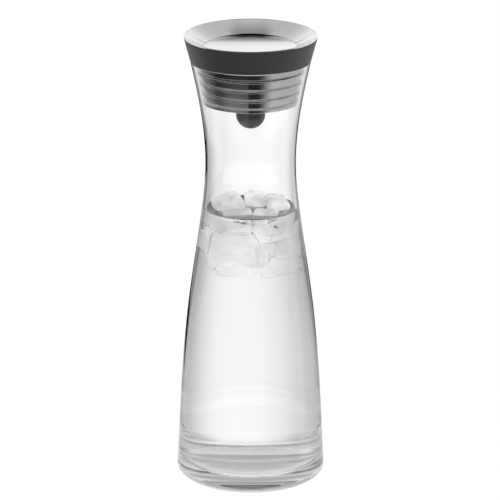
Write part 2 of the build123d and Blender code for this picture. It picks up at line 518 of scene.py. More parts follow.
@dataclass(frozen=True)
class Finish:
    """A surface finish that can be given to pieces."""

    name: str

    def paint(self, graph: Graph) -> Wire:
        """Builds the finish's shader."""
        raise NotImplementedError

    def material(self) -> bpy.types.Material:
        """The finish's material, made the first time that it is asked for.

        Returns:
            The material.
        """
        name = self.name + "_finish"
        found = bpy.data.materials.get(name)
        if found:
            return found
        made = bpy.data.materials.new(name)
        made.use_nodes = True
        graph = Graph(made.node_tree)
        graph.node("ShaderNodeOutputMaterial", {"Surface": self.paint(graph)})
        return made

    def on(self, piece: bpy.types.Object) -> None:
        """Makes this the piece's only material."""
        piece.data.materials.clear()
        piece.data.materials.append(self.material())


@dataclass(frozen=True)
class Clear(Finish):
    """Clear glass, water or ice: light goes through, and painted shade darkens the colour towards the outlines, where
    the surface turns away.
    """

    ior: float
    # edge is the grey of the painted shade at the outlines; it sets in between edge_from and edge_to of the Layer
    # Weight facing.
    edge: float
    edge_from: float
    edge_to: float
    ripple: float
    ripple_scale: float
    scuffed_under: float = -1.0

    def paint(self, graph: Graph) -> Wire:
        """Builds a refracting shader with painted shade at its outlines, that lets lamps through and is scuffed where
        it stands.

        Args:
            graph: Node tree of the material.

        Returns:
            The shader.
        """
        where = graph.place()
        # Painted shade: the base colour darkens towards the outlines, where the surface turns away from the view.
        facing = graph.node("ShaderNodeLayerWeight", {"Blend": 0.5})["Facing"]
        painted_outline_shade = facing.between(self.edge_from, self.edge_to)
        colour = graph.blend(painted_outline_shade, grey(1.0), grey(self.edge))
        waves = graph.noise(graph.stretched(where, (1.0, 1.0, 0.35)), self.ripple_scale)
        inputs = {
            "Base Color": colour,
            "Roughness": 0.0,
            "IOR": self.ior,
            "Transmission Weight": 1.0,
            "Normal": graph.bump(waves, 1.0, self.ripple),
        }
        clear = graph.node("ShaderNodeBsdfPrincipled", inputs)["BSDF"]
        scuffs = graph.noise(where, 900.0, 3.0).between(0.3, 0.6) * 0.3 + 0.4
        low = graph.split(where)[2].between(self.scuffed_under + 0.1 * MM, self.scuffed_under)
        frosted = graph.node("ShaderNodeBsdfDiffuse", {"Color": grey(0.8)})["BSDF"]
        clear = graph.shaders(low * scuffs, clear, frosted)
        gap = graph.node("ShaderNodeBsdfTransparent", {"Color": grey(0.92)})["BSDF"]
        lamp = graph.node("ShaderNodeLightPath")["Is Shadow Ray"]
        return graph.shaders(lamp, clear, gap)


@dataclass(frozen=True)
class Frozen(Finish):
    """Ice: clear in places, white where it holds fine bubbles, and hardly seen under water."""

    ior: float
    ior_in_water: float
    water_level: float
    clearest: float
    whitest: float
    dry_white: float = 0.55
    dry_gain: float = 1.6

    def clear_ice(self, graph: Graph, ior: float, roughness: Wire, normal: Wire) -> Wire:
        """Builds the clear part of the ice for what lies round it.

        Args:
            graph: Node tree of the material.
            ior: Index of refraction against air or water.
            roughness: Roughness of the faces.
            normal: Normal with the faces' waves.

        Returns:
            The shader.
        """
        inputs = {
            "Base Color": grey(1.0),
            "Roughness": roughness,
            "IOR": ior,
            "Transmission Weight": 1.0,
            "Normal": normal,
        }
        return graph.node("ShaderNodeBsdfPrincipled", inputs)["BSDF"]

    def paint(self, graph: Graph) -> Wire:
        """Builds a shader that is clear and white in soft patches.

        Args:
            graph: Node tree of the material.

        Returns:
            The shader.
        """
        where = graph.place()
        clouds = graph.noise(where, 70.0, 3.0, 0.55)
        waves = graph.bump(graph.noise(where, 160.0, 2.0), 0.6, 0.4 * MM)
        haze = 0.04 + 0.12 * clouds.between(0.35, 0.65)
        dry = self.clear_ice(graph, self.ior, haze, waves)
        wet = self.clear_ice(graph, self.ior_in_water, haze, waves)
        height = graph.split(where)[2]
        above = height.between(self.water_level, self.water_level + 0.3 * MM)
        clear = graph.shaders(above, wet, dry)
        through = graph.node("ShaderNodeBsdfTranslucent", {"Color": grey(0.98)})["BSDF"]
        back = graph.node("ShaderNodeBsdfDiffuse", {"Color": grey(0.98)})["BSDF"]
        share = graph.mixed(clouds.between(0.4, 0.62), self.clearest, self.whitest)
        share = graph.mixed(above, share, self.dry_white + share * self.dry_gain)
        gap = graph.node("ShaderNodeBsdfTransparent", {"Color": grey(0.97)})["BSDF"]
        lamp = graph.node("ShaderNodeLightPath")["Is Shadow Ray"]
        return graph.shaders(lamp, graph.shaders(share, clear, graph.shaders(0.5, through, back)), gap)


@dataclass(frozen=True)
class Moulded(Finish):
    """Moulded plastic or silicone with a fine grain and slight patches of wear."""

    colour: Colour
    worn: Colour
    roughness: float
    grain: float
    grain_scale: float
    metallic: float = 0.0

    def paint(self, graph: Graph) -> Wire:
        """Builds a satin shader with a grain in its bump, gloss and colour.

        Args:
            graph: Node tree of the material.

        Returns:
            The shader.
        """
        where = graph.place()
        patches = graph.noise(where, 34.0, 3.0)
        fine = graph.noise(where, self.grain_scale, 2.0)
        colour = graph.blend(patches.between(0.35, 0.75), self.colour, self.worn)
        inputs = {
            "Base Color": colour,
            "Roughness": self.roughness + 0.12 * (patches - 0.5) + 0.06 * (fine - 0.5),
            "Metallic": self.metallic,
            "Normal": graph.bump(fine, 0.35, self.grain),
        }
        return graph.node("ShaderNodeBsdfPrincipled", inputs)["BSDF"]


@dataclass(frozen=True)
class Steel(Finish):
    """Stainless steel, turned or polished in rings about the axis."""

    colour: Colour
    roughness: float
    ring_scale: float
    ring_depth: float

    def paint(self, graph: Graph) -> Wire:
        """Builds a metal with fine rings in its gloss and bump.

        Args:
            graph: Node tree of the material.

        Returns:
            The shader.
        """
        where = graph.place()
        x, y, z = graph.split(where)
        radius = (x * x + y * y) ** 0.5
        ring = graph.node("ShaderNodeCombineXYZ", {"X": radius, "Y": z})["Vector"]
        rings = graph.noise(ring, self.ring_scale, 3.0, 0.7)
        haze = graph.noise(where, 26.0, 3.0)
        inputs = {
            "Base Color": graph.blend(haze.between(0.3, 0.8), self.colour, grey(self.colour[1] * 0.93)),
            "Metallic": 1.0,
            "Roughness": self.roughness * (0.75 + 0.5 * rings) + 0.03 * haze,
            "Normal": graph.bump(rings, 0.25, self.ring_depth),
        }
        return graph.node("ShaderNodeBsdfPrincipled", inputs)["BSDF"]


class Finishes(Enum):
    """The carafe's finishes."""

    # The glass's 0.8, 0.35 and 0.95 set the grey and the reach of its painted outline shade.
    GLASS = Clear("clear_glass", 1.5, 0.8, 0.35, 0.95, 0.02 * MM, 24.0, 0.2 * MM)
    SEAL = Moulded("grey_silicone", grey(0.6), grey(0.55), 0.1, 0.003 * MM, 2200.0, metallic=1.0)
    COLLAR = Moulded("black_silicone", grey(0.023), grey(0.028), 0.46, 0.012 * MM, 3600.0)
    PLASTIC = Moulded("black_plastic", grey(0.028), grey(0.033), 0.36, 0.01 * MM, 2800.0)
    DISH = Steel("polished_steel", (0.80, 0.81, 0.82, 1.0), 0.05, 2600.0, 0.0004 * MM)
    TURNED = Steel("turned_steel", (0.60, 0.61, 0.62, 1.0), 0.24, 1800.0, 0.004 * MM)


def hand_over(piece: bpy.types.Object, finish: Finishes, body: str, *nodes: str) -> None:
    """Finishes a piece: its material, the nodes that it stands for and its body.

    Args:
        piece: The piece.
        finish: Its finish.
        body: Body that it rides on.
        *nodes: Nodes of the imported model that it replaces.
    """
    finish.value.on(piece)
    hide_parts(*nodes)
    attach(piece, body)
    LOG.info("%s: %d faces, on %s, for %s", piece.name, len(piece.data.polygons), body, ", ".join(nodes))


@dataclass
class GlassBody:
    """Blown glass body: heavy foot with a punt, waisted wall, rounded mouth."""

    node: CadNode
    stations: tuple[float, ...] = (100 * MM, 160 * MM, 205 * MM)
    foot_slope: float = -0.06
    mouth_slope: float = 0.23
    wall: float = 2.4 * MM
    base_corner: float = 4.2 * MM
    base_thickness: float = 9.5 * MM
    floor_corner: float = 6.0 * MM
    foot_width: float = 6.5 * MM
    foot_edge: float = 0.6 * MM
    punt_depth: float = 2.0 * MM
    rim_rounding: float = 0.55 * MM
    run_out: float = 1.6
    rim_run_out: float = 1.8
    probe: float = 1.0 * MM

    def __post_init__(self) -> None:
        """Reads the wall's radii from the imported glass."""
        height = self.node.high
        near_mouth = self.node.radii(height - 2 * self.probe)[-1]
        near_foot = self.node.radii(self.base_corner + self.probe)[-1]
        mouth = near_mouth + 2 * self.probe * self.mouth_slope
        foot = near_foot - (self.base_corner + self.probe) * self.foot_slope
        radii = [foot, *(self.node.radii(station)[-1] for station in self.stations), mouth]
        self.line = WallLine((0.0, *self.stations, height), radii, self.foot_slope, self.mouth_slope)

    def bore(self, height: float) -> float:
        """Inner radius at a height."""
        return self.line.radius(height, self.wall)

    def outline(self) -> list[Point]:
        """Half section from the punt's middle, under the foot, up the wall and back down inside.

        Returns:
            Radius and height of each point.
        """
        top = self.node.high
        foot = self.line.radius(0.0)
        punt = foot - self.base_corner - self.foot_width
        curve = (punt**2 + self.punt_depth**2) / (2 * self.punt_depth)
        dome = [punt * share for share in (0.0, 0.06, 0.2, 0.4, 0.6, 0.8)]
        under = [(r, self.punt_depth - curve + math.sqrt(curve**2 - r**2)) for r in dome]
        straight = self.base_corner * self.run_out
        corner = [
            (*under[-1], 0.0),
            (punt, 0.0, self.foot_edge),
            (foot, 0.0, self.base_corner),
            (self.line.radius(straight), straight, 0.0),
        ]
        shoulder = top - self.rim_rounding * self.rim_run_out
        rim = [
            (self.line.radius(shoulder), shoulder, 0.0),
            (self.line.radius(top), top, self.rim_rounding),
            (self.bore(top), top, self.rim_rounding),
            (self.bore(shoulder), shoulder, 0.0),
        ]
        inner_low = self.base_thickness + self.floor_corner * self.run_out
        floor = [
            (self.bore(inner_low), inner_low, 0.0),
            (self.bore(self.base_thickness), self.base_thickness, self.floor_corner),
            (self.bore(self.base_thickness) * 0.5, self.base_thickness, 0.0),
        ]
        flat = [(self.bore(self.base_thickness) * share, self.base_thickness) for share in (0.25, 0.06, 0.0)]
        outside = self.line.points(straight, shoulder, 72)
        inside = self.line.points(shoulder, inner_low, 72, self.wall)
        line = under[:-1] + rounded(corner, steps=10) + outside[1:-1] + rounded(rim, steps=10)
        return line + inside[1:-1] + rounded(floor, steps=12) + flat

    def build(self) -> None:
        """Models and dresses the glass."""
        piece = Bench.turned("glass_body_blown", self.outline(), 256)
        hand_over(piece, Finishes.GLASS, "carafe", "glass_body")


@dataclass
class Stopper:
    """What sits in the neck: ribbed seal, funnel core, pouring collar and guide."""

    glass: GlassBody
    seal: CadNode
    core: CadNode
    collar: CadNode
    guide: bpy.types.Object
    seal_clearance: float = 0.3 * MM
    seal_foot: float = 2.2 * MM
    sleeve_wall: float = 1.3 * MM
    lip_offset: float = 6.8 * MM
    lip_pitch: float = 6.5 * MM
    lip_count: int = 3
    lip_thickness: float = 1.3 * MM
    lip_root: float = 2.1 * MM
    lip_edge: float = 0.3 * MM
    flare: float = 0.25 * MM
    core_wall: float = 2.0 * MM
    collar_sole: float = 2.0 * MM
    flange_thickness: float = 2.5 * MM
    seat_width: float = 1.0 * MM
    collar_edge: float = 0.3 * MM
    collar_brow: float = 0.6 * MM
    probe: float = 1.0 * MM

    def __post_init__(self) -> None:
        """Reads the funnel's cone and the collar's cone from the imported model."""
        low = self.seal.low + self.probe
        high = self.seal.high - self.probe
        low_radius = self.seal.radii(low)[0]
        high_radius = self.seal.radii(high)[0]
        self.funnel_slope = (high_radius - low_radius) / (high - low)
        self.funnel_foot = low_radius - self.funnel_slope * self.probe
        low = self.collar.low + self.probe
        high = self.collar.high - self.probe
        low_radius = self.collar.radii(low)[-1]
        self.collar_slope = (self.collar.radii(high)[-1] - low_radius) / (high - low)
        self.collar_foot = low_radius - self.collar_slope * self.probe

    def funnel(self, height: float) -> float:
        """Outer radius of the funnel core at a height."""
        return self.funnel_foot + self.funnel_slope * (height - self.seal.low)

    def sleeve(self, height: float) -> float:
        """Outer radius of the seal's sleeve, which flares a little towards both ends.

        Args:
            height: Height on the sleeve.

        Returns:
            The radius there.
        """
        middle = (self.seal.low + self.seal.high) / 2
        share = (height - middle) / (self.seal.high - middle)
        return self.funnel(height) + self.sleeve_wall + self.flare * (share**2 - 1)

    def between_lips(self, high: float, low: float) -> list[Corner]:
        """Points on the sleeve between two heights, from the upper one down."""
        heights = [high + (low - high) * share for share in (0.25, 0.5, 0.75)]
        return [(self.sleeve(height), height, 0.0) for height in heights]

    def seal_outline(self) -> list[Point]:
        """Closed half section of the seal: sleeve, thick foot and lips that follow the glass.

        Returns:
            Radius and height of each point.
        """
        low, high = self.seal.low, self.seal.high
        foot_top = low + self.seal_foot
        edge = self.lip_edge
        corners = [
            (self.funnel(low), low, 0.0),
            (self.glass.bore(low) - self.seal_clearance, low, edge),
            (self.glass.bore(foot_top) - self.seal_clearance, foot_top, edge),
            (self.sleeve(foot_top), foot_top, edge),
        ]
        reached = foot_top
        for lip in reversed(range(self.lip_count)):
            lip_low = high - self.lip_offset - lip * self.lip_pitch
            lip_high = lip_low + self.lip_thickness
            root = lip_low + self.lip_root
            corners += self.between_lips(reached, lip_low)
            corners += [
                (self.sleeve(lip_low), lip_low, edge),
                (self.glass.bore(lip_low) - self.seal_clearance, lip_low, edge),
                (self.glass.bore(lip_high) - self.seal_clearance, lip_high, edge),
                (self.sleeve(root), root, edge),
            ]
            reached = root
        corners += self.between_lips(reached, high)
        corners += [(self.sleeve(high), high, edge), (self.funnel(high), high, 0.0)]
        return rounded(corners, closed=True, steps=4)

    def core_outline(self) -> list[Point]:
        """Closed half section of the funnel core and its flange.

        Returns:
            Radius and height of each point.
        """
        low = self.seal.low
        flange_low = self.collar.low + self.collar_sole
        flange_high = flange_low + self.flange_thickness
        reach = self.core.radii(flange_low + self.flange_thickness / 2)[-1]
        edge = self.lip_edge
        corners = [
            (self.funnel(low) - self.core_wall, low, edge),
            (self.funnel(low), low, edge),
            (self.funnel(flange_low), flange_low, 0.0),
            (reach, flange_low, 0.0),
            (reach, flange_high, 0.0),
            (self.funnel(flange_high) - self.core_wall, flange_high, 0.0),
        ]
        return rounded(corners, closed=True, steps=4)

    def collar_outline(self) -> list[Point]:
        """Closed half section of the pouring collar, moulded round the flange.

        Returns:
            Radius and height of each point.
        """
        low, high = self.collar.low, self.collar.high
        flange_low = low + self.collar_sole
        flange_high = flange_low + self.flange_thickness
        reach = self.core.radii(flange_low + self.flange_thickness / 2)[-1]
        top = self.collar_foot + self.collar_slope * (high - low)
        edge = self.collar_edge
        corners = [
            (self.collar_foot, low, edge),
            (top, high, self.collar_brow),
            (top - self.seat_width, high, edge),
            (self.funnel(flange_high) - self.core_wall, flange_high, 0.0),
            (reach, flange_high, 0.0),
            (reach, flange_low, 0.0),
            (self.funnel(flange_low), flange_low, 0.0),
            (self.funnel(low), low, 0.0),
        ]
        return rounded(corners, closed=True, steps=5)

    def build(self) -> None:
        """Models and dresses the stopper."""
        seal = Bench.turned("neck_seal_ribbed", self.seal_outline())
        hand_over(seal, Finishes.SEAL, "stopper", "neck_seal")
        core = Bench.turned("stopper_core_funnel", self.core_outline())
        hand_over(core, Finishes.PLASTIC, "stopper", "stopper_core")
        collar = Bench.turned("pouring_collar_soft", self.collar_outline())
        hand_over(collar, Finishes.COLLAR, "stopper", "pouring_collar")
        Finishes.PLASTIC.value.on(self.guide)


@dataclass
class TippingLid:
    """Pressed steel dish in its carrier, with the weight that hangs from it."""

    dish: CadNode
    nodes: dict[str, bpy.types.Object]
    sheet: float = 0.8 * MM
    land: float = 1.2 * MM
    wall_run: float = 11.9 * MM
    depth: float = 7.6 * MM
    bowl: float = 0.9 * MM
    lip: float = 1.2 * MM
    crease: float = 2.2 * MM
    bow: float = 0.4 * MM
    rolled: float = 0.85 * MM
    roll_drop: float = 0.03 * MM
    upper_edge: float = 0.6 * MM
    lower_edge: float = 0.08 * MM
    weight_radius: float = 9.2 * MM
    shell_wall: float = 1.4 * MM
    stem_radius: float = 2.0 * MM
    seam: float = 0.12 * MM

    def dish_top(self) -> list[Point]:
        """Upper face of the sheet, from its middle over the hollow floor and the bowed wall to the rim.

        Returns:
            Radius and height of each point.
        """
        rim = self.dish.radii(self.dish.high - self.sheet / 2)[-1]
        top = self.dish.high
        floor = top - self.depth
        lip = rim - self.land
        foot = lip - self.wall_run
        curve = (foot**2 + self.bowl**2) / (2 * self.bowl)
        shares = (0.0, 0.03, 0.1, 0.2, 0.3, 0.4, 0.5, 0.6, 0.7, 0.8)
        hollow = [(foot * share, floor + curve - math.sqrt(curve**2 - (foot * share) ** 2)) for share in shares]
        rise = self.depth - self.bowl
        slant = math.hypot(self.wall_run, rise)
        wall = []
        for step in range(1, 8):
            share = step / 8
            bow = 4 * self.bow * share * (1 - share)
            radius = foot + self.wall_run * share + bow * rise / slant
            wall.append((radius, top - rise * (1 - share) - bow * self.wall_run / slant))
        crease = (*hollow[-1], 0.0), (foot, floor + self.bowl, self.crease), (*wall[1], 0.0)
        shoulder = (*wall[-1], 0.0), (lip, top, self.lip), (rim - self.rolled, top, 0.0)
        upper = rounded(crease, steps=10)[1:-1] + wall[1:-1] + rounded(shoulder, steps=8)[:-1]
        return hollow + upper + [(rim, top - self.roll_drop)]

    def dish_outline(self) -> list[Point]:
        """Half section of the sheet: over the top from the middle to the rim and back underneath.

        Returns:
            Radius and height of each point.
        """
        over = self.dish_top()
        rim, edge_top = over[-1]
        low = self.dish.high - self.sheet
        under = []
        for before, here, after in zip(over, over[1:-1], over[2:]):
            run, rise = after[0] - before[0], after[1] - before[1]
            reach = self.sheet / math.hypot(run, rise)
            under.append((here[0] + rise * reach, here[1] - run * reach))
        edge = [
            (rim - self.rolled, self.dish.high, 0.0),
            (rim, edge_top, self.upper_edge),
            (rim, low, self.lower_edge),
            (rim - self.sheet, low, 0.0),
        ]
        middle = (0.0, over[0][1] - self.sheet)
        return over[:-1] + rounded(edge, steps=6)[1:-1] + under[::-1] + [middle]

    def shell_outline(self, upper: bool, centre: float) -> list[Point]:
        """Half section of one half of the weight's shell, with a fine bevel at the seam.

        Args:
            upper: Whether it is the half that the stem passes through.
            centre: Height of the weight's middle.

        Returns:
            Radius and height of each point.
        """
        stops = 40
        angles = [math.pi / 2 * i / stops for i in range(stops + 1)]
        bevel = self.seam / self.weight_radius
        open_end = math.asin(self.stem_radius / self.weight_radius) if upper else 0.0
        outside = [a for a in angles if a > open_end and a < math.pi / 2 - bevel]
        outside = [open_end, *outside, math.pi / 2 - bevel]
        side = 1 if upper else -1
        skin = [
            (self.weight_radius * math.sin(a), centre + side * self.weight_radius * math.cos(a)) for a in outside
        ]
        core = self.weight_radius - self.shell_wall
        inner_end = math.asin(self.stem_radius / core) if upper else 0.0
        inside = [inner_end, *(a for a in angles if a > inner_end)]
        lining = [(core * math.sin(a), centre + side * core * math.cos(a)) for a in reversed(inside)]
        seam = [(self.weight_radius - self.seam, centre)]
        return skin + seam + lining

    def build(self) -> None:
        """Models and dresses the lid and its weight."""
        dish = Bench.turned("steel_dish_pressed", self.dish_outline(), 256)
        hand_over(dish, Finishes.DISH, "tipping_lid", "steel_dish")
        low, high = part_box("weight_shell_lower")[0].z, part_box("weight_shell_upper")[1].z
        centre = low + self.weight_radius
        LOG.info("weight from %.4f to %.4f, centre %.4f", low, high, centre)
        for name, upper in (("weight_shell_lower", False), ("weight_shell_upper", True)):
            shell = Bench.turned(name + "_smooth", self.shell_outline(upper, centre), 128)
            hand_over(shell, Finishes.PLASTIC, "tipping_lid", name)
        for name, finish in (
            ("dish_carrier", Finishes.PLASTIC),
            ("dish_stud", Finishes.TURNED),
            ("pendulum_stem", Finishes.TURNED),
            ("weight_core", Finishes.TURNED),
        ):
            finish.value.on(self.nodes[name])


@dataclass
class Contents:
    """Water and ice in the glass, shown with it and not part of it."""

    glass: GlassBody
    level: float = 177.5 * MM
    overlap: float = 0.06 * MM
    meniscus: float = 1.1 * MM
    melt: float = 0.2
    unevenness: float = 0.5 * MM
    bubble_gap: float = 0.35
    blocks: tuple[tuple[Corner, Corner, Corner], ...] = (
        ((-13.5, 3.0, 174.0), (19.0, 18.0, 20.0), (8.0, -14.0, 18.0)),
        ((3.0, 9.0, 175.0), (14.0, 17.0, 19.0), (-6.0, 5.0, -12.0)),
        ((16.0, 2.5, 174.5), (13.5, 19.0, 18.0), (4.0, 12.0, 8.0)),
        ((-8.5, -10.5, 171.4), (20.0, 15.0, 14.6), (1.0, -2.0, 8.0)),
        ((9.5, -11.0, 171.2), (17.0, 15.0, 14.8), (-1.0, 2.0, -10.0)),
        ((-9.0, -9.5, 150.0), (25.0, 20.0, 25.0), (6.0, 4.0, 12.0)),
        ((14.5, -9.0, 147.0), (19.0, 18.0, 22.0), (-9.0, -16.0, -24.0)),
        ((-4.0, 14.0, 150.0), (26.0, 18.0, 24.0), (10.0, 8.0, -8.0)),
        ((17.0, 12.0, 152.0), (15.0, 15.0, 22.0), (0.0, 10.0, 30.0)),
    )
    bubbles: tuple[Corner, ...] = (
        (-21.0, 176.6, 0.55),
        (-17.5, 176.2, 0.8),
        (-15.0, 176.7, 0.5),
        (-8.0, 176.4, 0.6),
        (-5.0, 176.8, 0.45),
        (30.0, 176.3, 0.75),
        (33.5, 176.7, 0.5),
        (27.0, 176.8, 0.45),
        (64.0, 141.5, 0.6),
        (67.0, 139.6, 0.8),
        (61.0, 138.4, 0.5),
        (-42.0, 144.5, 0.6),
        (-38.0, 143.2, 0.45),
        (-3.0, 134.0, 0.35),
        (1.5, 132.0, 0.4),
    )

    def outline(self) -> list[Point]:
        """Half section of the water, which just enters the glass so that no gap of air is left.

        Returns:
            Radius and height of each point.
        """
        inset = self.glass.wall - self.overlap
        low = self.glass.base_thickness - self.overlap
        corner = self.glass.floor_corner
        straight = low + corner * self.glass.run_out
        edge = self.glass.line.radius(self.level + self.meniscus, inset)
        floor = [
            (self.glass.bore(low) * 0.5, low, 0.0),
            (self.glass.line.radius(low, inset), low, corner),
            (self.glass.line.radius(straight, inset), straight, 0.0),
        ]
        flat = [(self.glass.bore(low) * share, low) for share in (0.0, 0.06, 0.25)]
        wall = self.glass.line.points(straight, self.level + self.meniscus, 60, inset)
        steps = (0.12, 0.3, 0.5, 0.75, 1.0)
        dip = [(edge - self.meniscus * 3 * t, self.level + self.meniscus * (1 - t) ** 3) for t in steps]
        top = [(edge * share, self.level) for share in (0.6, 0.3, 0.05, 0.0)]
        return flat + rounded(floor, steps=12) + wall[1:] + dip + top

    def block(self, number: int, middle: Corner, size: Corner, turn: Corner) -> bpy.types.Object:
        """One lump of ice with melted corners and uneven faces.

        Args:
            number: Number in its name, and seed of its unevenness.
            middle: Its middle, in millimetres.
            size: Its sides, in millimetres.
            turn: Its turn about each axis, in degrees.

        Returns:
            The lump.
        """
        Bench.clear()
        bpy.ops.mesh.primitive_cube_add(
            size=1,
            location=[part * MM for part in middle],
            rotation=[math.radians(part) for part in turn],
            scale=[part * MM for part in size],
        )
        lump = Bench.named(f"ice_{number}")
        bpy.ops.object.mode_set(mode="EDIT")
        bpy.ops.mesh.select_all(action="SELECT")
        bpy.ops.mesh.bevel(offset=min(size) * self.melt * MM, segments=5)
        bpy.ops.mesh.select_all(action="SELECT")
        bpy.ops.mesh.subdivide(number_cuts=2)
        bpy.ops.transform.vertex_random(offset=self.unevenness, normal=1.0, seed=number)
        bpy.ops.mesh.vertices_smooth(factor=0.5, repeat=4)
        bpy.ops.object.mode_set(mode="OBJECT")
        return Bench.finished(lump)

    def bubble_cloud(self) -> bpy.types.Object:
        """Small bubbles of air on the inside of the glass, joined into one piece.

        Returns:
            The joined piece.
        """
        Bench.clear()
        made = []
        for angle, height, radius in self.bubbles:
            reach = self.glass.bore(height * MM) - (radius + self.bubble_gap) * MM
            place = (reach * math.sin(math.radians(angle)), -reach * math.cos(math.radians(angle)), height * MM)
            bpy.ops.mesh.primitive_ico_sphere_add(subdivisions=3, radius=radius * MM, location=place)
            made.append(Bench.named("bubble"))
        for bubble in made:
            bubble.select_set(True)
        bpy.ops.object.join()
        cloud = Bench.named("water_bubbles")
        bpy.ops.object.shade_smooth()
        return cloud

    def build(self) -> None:
        """Models the water, the ice in it and a few bubbles."""
        water = Bench.turned("water", self.outline(), 256)
        # The water gets painted outline shade through edge, edge_from and edge_to.
        Clear("water", ior=1.333, edge=0.9, edge_from=0.8, edge_to=1.0, ripple=0.0, ripple_scale=20.0).on(water)
        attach(water, "carafe")
        for number, (middle, size, turn) in enumerate(self.blocks, 1):
            lump = self.block(number, middle, size, turn)
            Frozen("ice", 1.2, 0.987, self.level, 0.02, 0.2).on(lump)
            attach(lump, "carafe")
        cloud = self.bubble_cloud()
        # The bubbles get painted outline shade through edge, edge_from and edge_to.
        Clear("air", ior=0.75, edge=0.9, edge_from=0.8, edge_to=1.0, ripple=0.0, ripple_scale=20.0).on(cloud)
        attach(cloud, "carafe")


@dataclass
class Studio:
    """Camera, white floor, surroundings and lamps."""

    camera_distance: float = 1.9139
    camera_pitch: float = 18.694
    aim_height: float = 148.75 * MM
    camera_side: float = -0.4 * MM
    lens: float = 216.3
    sensor: float = 36.0
    floor_radius: float = 6.0
    floor_gap: float = 0.1 * MM
    matt_light: float = 2.9
    glass_light: float = 1.12
    card_taper: float = 9

    def camera(self) -> None:
        """Places the camera as the photograph's."""
        pitch = math.radians(self.camera_pitch)
        back = Vector((0, -math.cos(pitch), math.sin(pitch)))
        place = Vector((self.camera_side, 0, self.aim_height)) + back * self.camera_distance
        bpy.ops.object.camera_add(location=place, rotation=(math.pi / 2 - pitch, 0, 0))
        camera = bpy.context.active_object
        camera.name = "camera"
        camera.data.lens = self.lens
        camera.data.sensor_width = self.sensor
        bpy.context.scene.camera = camera

    def floor(self) -> None:
        """Lays the floor: white with a faint shadow, and out of the way of what glass and steel show."""
        Bench.clear()
        bpy.ops.mesh.primitive_circle_add(
            vertices=96, radius=self.floor_radius, location=(0, 0, -self.floor_gap), fill_type="NGON"
        )
        floor = Bench.named("floor")
        material = bpy.data.materials.new("white_floor")
        material.use_nodes = True
        material.cycles.emission_sampling = "NONE"
        graph = Graph(material.node_tree)
        path = graph.node("ShaderNodeLightPath")
        plain = graph.node("ShaderNodeBsdfDiffuse", {"Color": grey(0.8)})["BSDF"]
        white = graph.node("ShaderNodeEmission", {"Color": grey(0.95)})["Emission"]
        faint = graph.node("ShaderNodeBsdfDiffuse", {"Color": grey(0.08)})["BSDF"]
        shown = graph.node("ShaderNodeAddShader", {0: white, 1: faint})["Shader"]
        gap = graph.node("ShaderNodeBsdfTransparent")["BSDF"]
        clear = path["Is Glossy Ray"].maths("MAXIMUM", path["Is Transmission Ray"])
        surface = graph.shaders(path["Is Camera Ray"], graph.shaders(clear, plain, gap), shown)
        graph.node("ShaderNodeOutputMaterial", {"Surface": surface})
        floor.data.materials.append(material)

    def behind_glass(self, graph: Graph, aside: Wire, height: Wire) -> Wire:
        """Light that clear glass lets through, by its direction from straight behind.

        Args:
            graph: Node tree of the world.
            aside: Degrees from straight behind, positive to the right.
            height: Degrees above the horizon.

        Returns:
            The light's level.
        """
        body = [
            (-180, 1.0),
            (-140, 0.9),
            (-100, 0.6),
            (-60, 0.5),
            (-35, 0.54),
            (-25, 0.7),
            (-18, 0.82),
            (-10, 0.92),
            (-4, 0.98),
            (6, 1.0),
            (19, 0.96),
            (26, 0.82),
            (31, 0.7),
            (37, 0.6),
            (45, 0.52),
            (100, 0.6),
            (140, 0.9),
            (180, 1.0),
        ]
        neck = [
            (-180, 1.0),
            (-140, 0.85),
            (-100, 0.45),
            (-34, 0.36),
            (-27, 0.42),
            (-19, 0.56),
            (-12, 0.7),
            (-5, 0.86),
            (-1.5, 0.97),
            (1.5, 1.0),
            (5, 0.96),
            (12, 0.86),
            (19, 0.7),
            (34, 0.6),
            (100, 0.6),
            (140, 0.85),
            (180, 1.0),
        ]
        high_up = height.between(-18.4, -17.4)
        return graph.mixed(high_up, graph.level(aside, body), graph.level(aside, neck)) * self.glass_light

    def mirrored_floor(self, graph: Graph, aside: Wire, height: Wire, flare: Wire, passed: Wire) -> Wire:
        """What steel, the seal and the glass's own inner faces mirror below the horizon.

        Args:
            graph: Node tree of the world.
            aside: Degrees from straight behind, positive to the right.
            height: Degrees above the horizon.
            flare: Slope of the face that would mirror this direction.
            passed: Faces of glass or water that the ray went through.

        Returns:
            The light's level.
        """
        across = graph.level(
            aside,
            [
                (-180, 0.02),
                (-175.5, 0.02),
                (-174, 0.24),
                (-130, 0.34),
                (-95, 0.17),
                (-60, 0.16),
                (-36, 0.5),
                (20, 0.6),
                (100, 0.72),
                (126, 0.74),
                (139, 0.4),
                (150, 0.14),
                (160, 0.02),
                (180, 0.02),
            ],
        )
        on_left = aside.between(-25, -60)
        left = graph.level(flare, [(-0.6, 0.02), (-0.44, 0.04), (-0.41, 0.3), (-0.38, 0.62), (-0.33, 1.0), (0.4, 1.0)])
        right = graph.level(flare, [(-0.6, 0.85), (-0.44, 0.9), (-0.33, 1.04), (0.4, 1.1)])
        in_front = aside.maths("ABSOLUTE").between(80, 100)
        rim_shade = in_front * height.between(-30, -27) * 0.95
        outside = passed.maths("LESS_THAN", 0.5)
        in_wall = passed.maths("LESS_THAN", 2.5) - outside
        shaped = across * graph.mixed(on_left, right, left) * (1 - rim_shade)
        to_back = aside.maths("ABSOLUTE").between(110, 70)
        shaped = graph.mixed((height.between(-20.5, -22) * in_wall).maths("MAXIMUM", outside) * to_back, shaped, 0.85)
        neck_edge = height.between(-16.1, -16.6) * height.between(-19.3, -18.7) * outside
        neck_edge = neck_edge + height.between(-21.0, -20.0) * in_wall
        shaped = shaped * (1 - aside.between(-35, -28) * aside.between(25, 19) * neck_edge)
        return graph.mixed(height.between(-46, -54), shaped, 1.2)

